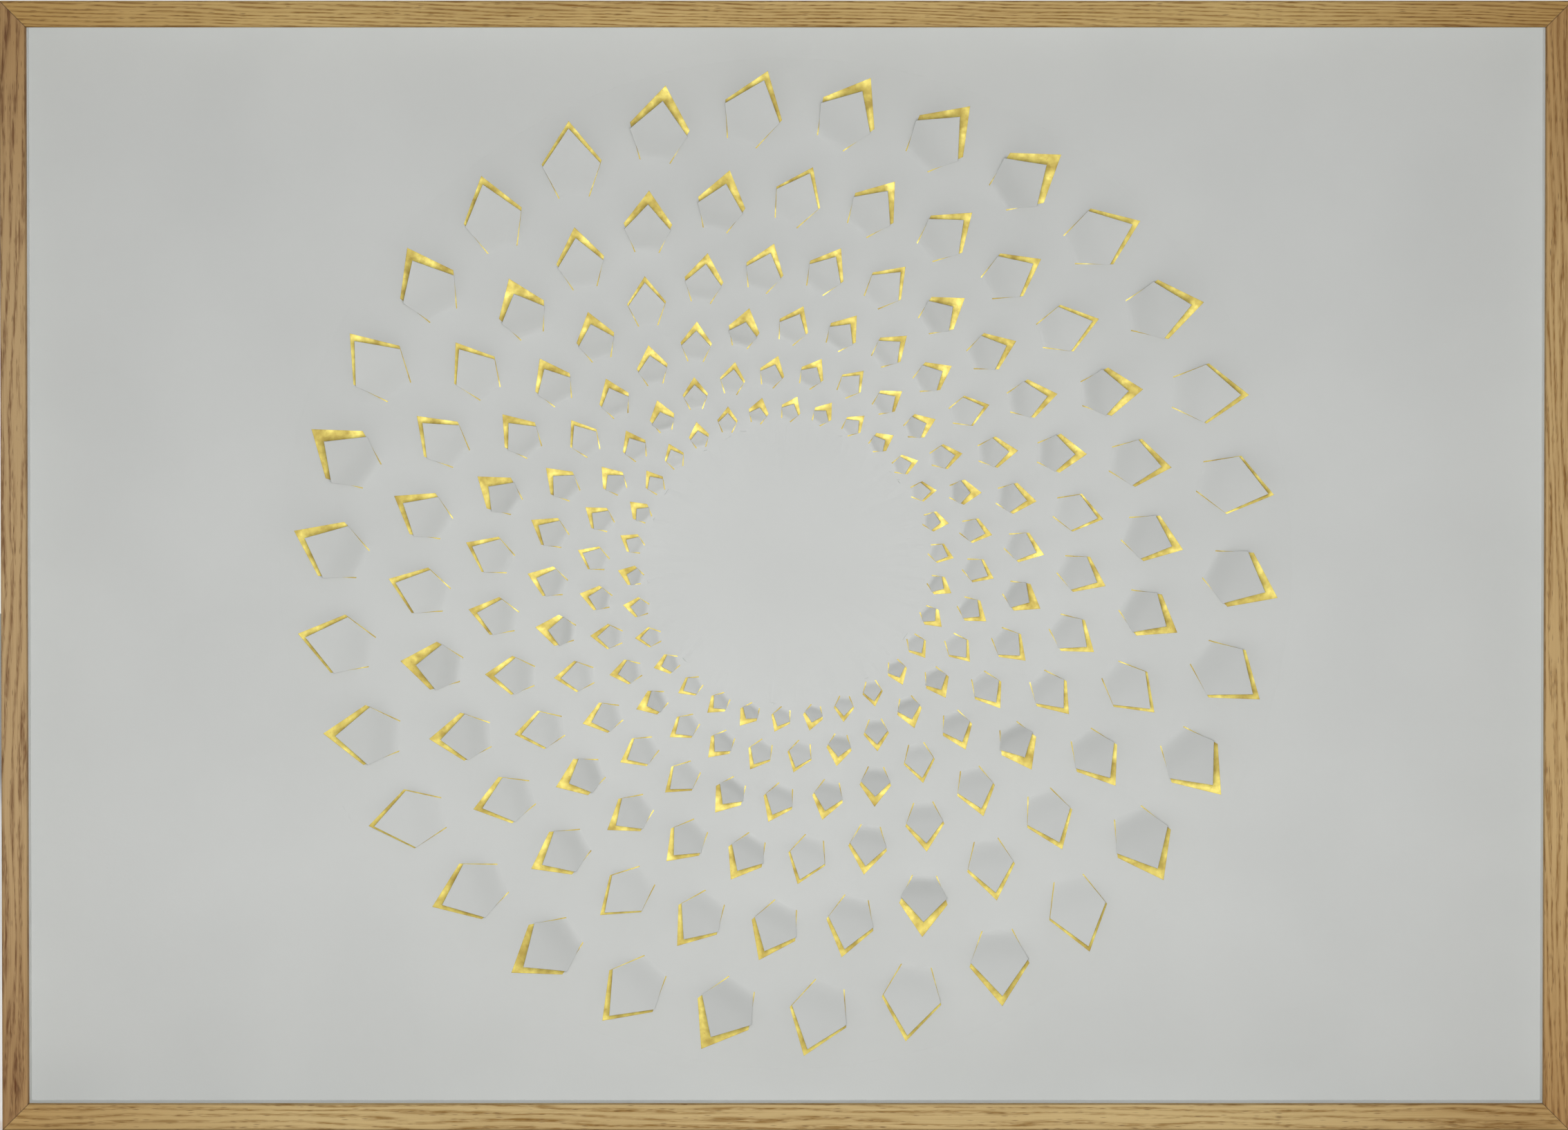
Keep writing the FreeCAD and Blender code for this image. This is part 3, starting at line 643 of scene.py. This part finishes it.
fibreboard, tree, shader = new_material("fibreboard", Roughness=0.82, Specular_IOR_Level=0.2)
spot = place_in_piece(tree)
felted = noise(tree, spot, 420, 5, 0.7)
cloud = noise(tree, spot, 18, 3)
chips = noise(tree, stretched(tree, spot, (700, 700, 1900)), detail=3, roughness=0.6)
brown = blend_colours(tree, between(tree, cloud, 0.3, 0.7), FIBREBOARD_BROWN, FIBREBOARD_SHADE)
speckled = blend_colours(tree, between(tree, felted, 0.5, 0.72, 0.0, 0.55), brown, DARK_FIBRES)
pale_chips = between(tree, chips, 0.6, 0.75, 0.0, 0.35)
plug(tree, shader.inputs["Base Color"], blend_colours(tree, pale_chips, speckled, PALE_CHIPS))
plug(tree, shader.inputs["Normal"], raise_by(tree, felted, 0.08 * MM, 0.5))
dress("back_board", fibreboard)


# Hangers and rivets: zinc-plated steel strip, pressed with a raised bridge and teeth that catch a wall
# screw. Two rivets hold each hanger to the back board.

plated = steel("plated_steel", seen(206, 206, 204), 0.3, (2200, 600, 600))
for name in ("hanger_left", "hanger_right", "hanger_rivets"):
    dress(name, plated)


# Pads: small strips of brown wool felt with rounded corners, glued to the back of the bottom rail, where
# they keep the frame off the wall.

FELT_PALE = seen(120, 98, 78)
FELT_DARK = seen(78, 62, 50)

felt, tree, shader = new_material("felt", Roughness=0.95, Specular_IOR_Level=0.1)
shader.inputs["Sheen Weight"].default_value = 0.4
spot = place_in_piece(tree)
wool = noise(tree, spot, 2200, 4, 0.7)
plug(tree, shader.inputs["Base Color"], blend_colours(tree, wool, FELT_PALE, FELT_DARK))
plug(tree, shader.inputs["Normal"], raise_by(tree, wool, 0.3 * MM, 0.8))
dress("pad_left", felt)
dress("pad_right", felt)


# The floor that the frame stands on, pale and plain, and the studio: a soft lamp straight in front of the
# picture, and lamps behind, beside and above it. These stand behind its face, so that their light doesn't
# rake across the paper.

FLOOR_REACH = 6.0
FLOOR_PALENESS = 0.04

floor_mesh = bpy.data.meshes.new("floor")
corners = np.array([[-1, -1, 0], [1, -1, 0], [1, 1, 0], [-1, 1, 0]]) * FLOOR_REACH
floor_mesh.from_pydata(corners.tolist(), [], [(0, 1, 2, 3)])
floor = bpy.data.objects.new("floor", floor_mesh)
bpy.context.scene.collection.objects.link(floor)

pale_floor, tree, shader = new_material("pale_floor", Roughness=0.9, Specular_IOR_Level=0.1)
unevenly = noise(tree, place_in_piece(tree), 3, 2)
floor_tint = blend_colours(tree, unevenly, seen(232, 231, 229), seen(228, 227, 225))
plug(tree, shader.inputs["Base Color"], floor_tint)
shader.inputs["Emission Color"].default_value = (1.0, 1.0, 1.0, 1.0)
rays = tree.nodes.new("ShaderNodeLightPath")
glow = reckon(tree, "MULTIPLY", rays.outputs["Is Camera Ray"], FLOOR_PALENESS)
plug(tree, shader.inputs["Emission Strength"], glow)
floor_mesh.materials.append(pale_floor)

# The room gives a little light from all sides, and looks paler than that to the camera and in reflections
FILL = 0.245
BACKDROP = 0.80
world = bpy.data.worlds.new("studio")
bpy.context.scene.world = world
world.use_nodes = True
tree = world.node_tree
backdrop = tree.nodes["Background"]
rays = tree.nodes.new("ShaderNodeLightPath")
direct = reckon(tree, "MAXIMUM", rays.outputs["Is Camera Ray"], rays.outputs["Is Glossy Ray"])
shows = reckon(tree, "MAXIMUM", direct, rays.outputs["Is Transmission Ray"])
backdrop.inputs["Color"].default_value = (1.0, 1.0, 1.0, 1.0)
plug(tree, backdrop.inputs["Strength"], between(tree, shows, 0.0, 1.0, FILL, BACKDROP))


def softbox(name, place, aim, size, watts, spread):
    """A square lamp that looks at a point; its light fans out over the spread, as through a grid."""
    lamp = bpy.data.lights.new(name, "AREA")
    lamp.shape = "SQUARE"
    lamp.size = size
    lamp.energy = watts
    lamp.spread = math.radians(spread)
    box = bpy.data.objects.new(name, lamp)
    box.location = place
    box.rotation_euler = (Vector(aim) - Vector(place)).to_track_quat("-Z", "Y").to_euler()
    bpy.context.scene.collection.objects.link(box)


softbox("lamp_front", place=(0.0, -2.1, 0.30), aim=(0.0, 0.0, 0.11), size=0.40, watts=4.25, spread=75)
softbox("lamp_rear", place=(-0.9, 2.4, 1.3), aim=frame_middle, size=1.4, watts=17, spread=150)
softbox("lamp_left", place=(-2.1, 0.75, 0.7), aim=frame_middle, size=1.0, watts=5.5, spread=70)
softbox("lamp_right", place=(2.1, 0.75, 0.7), aim=frame_middle, size=1.0, watts=5.5, spread=70)
softbox("lamp_above", place=(0.0, 0.6, 2.4), aim=frame_middle, size=1.0, watts=3.0, spread=110)


# The camera: square on and very slightly above the middle, four metres away, with a long lens. Its lens and
# its aim follow from how wide the sight of the frame stands in the picture and how far off the middle.

VIEW_DISTANCE = 4.0
VIEW_RISE = math.radians(1.92)
SENSOR_WIDTH = 36.0
SIGHT_WIDTH = 689 * MM

# In pixels of the picture: its width, the sight's width, and how far the sight's middle is right and below
PIXELS_WIDE = 2268
SIGHT_PIXELS_WIDE = 2195.0
SIGHT_MIDDLE_OFF = 2.7
SIGHT_MIDDLE_LOW = 2.4

metres_a_pixel = SIGHT_WIDTH / SIGHT_PIXELS_WIDE
aim_height = frame_middle.z + SIGHT_MIDDLE_LOW * metres_a_pixel
aim = Vector((frame_middle.x - SIGHT_MIDDLE_OFF * metres_a_pixel, frame_front, aim_height))
eye = aim + VIEW_DISTANCE * Vector((0, -math.cos(VIEW_RISE), math.sin(VIEW_RISE)))
lens = bpy.data.cameras.new("view")
lens.sensor_width = SENSOR_WIDTH
lens.lens = SENSOR_WIDTH * VIEW_DISTANCE / (PIXELS_WIDE * metres_a_pixel)
camera = bpy.data.objects.new("view", lens)
camera.location = eye
camera.rotation_euler = (aim - eye).to_track_quat("-Z", "Y").to_euler()
bpy.context.scene.collection.objects.link(camera)
bpy.context.scene.camera = camera
bpy.context.scene.view_settings.view_transform = "Standard"
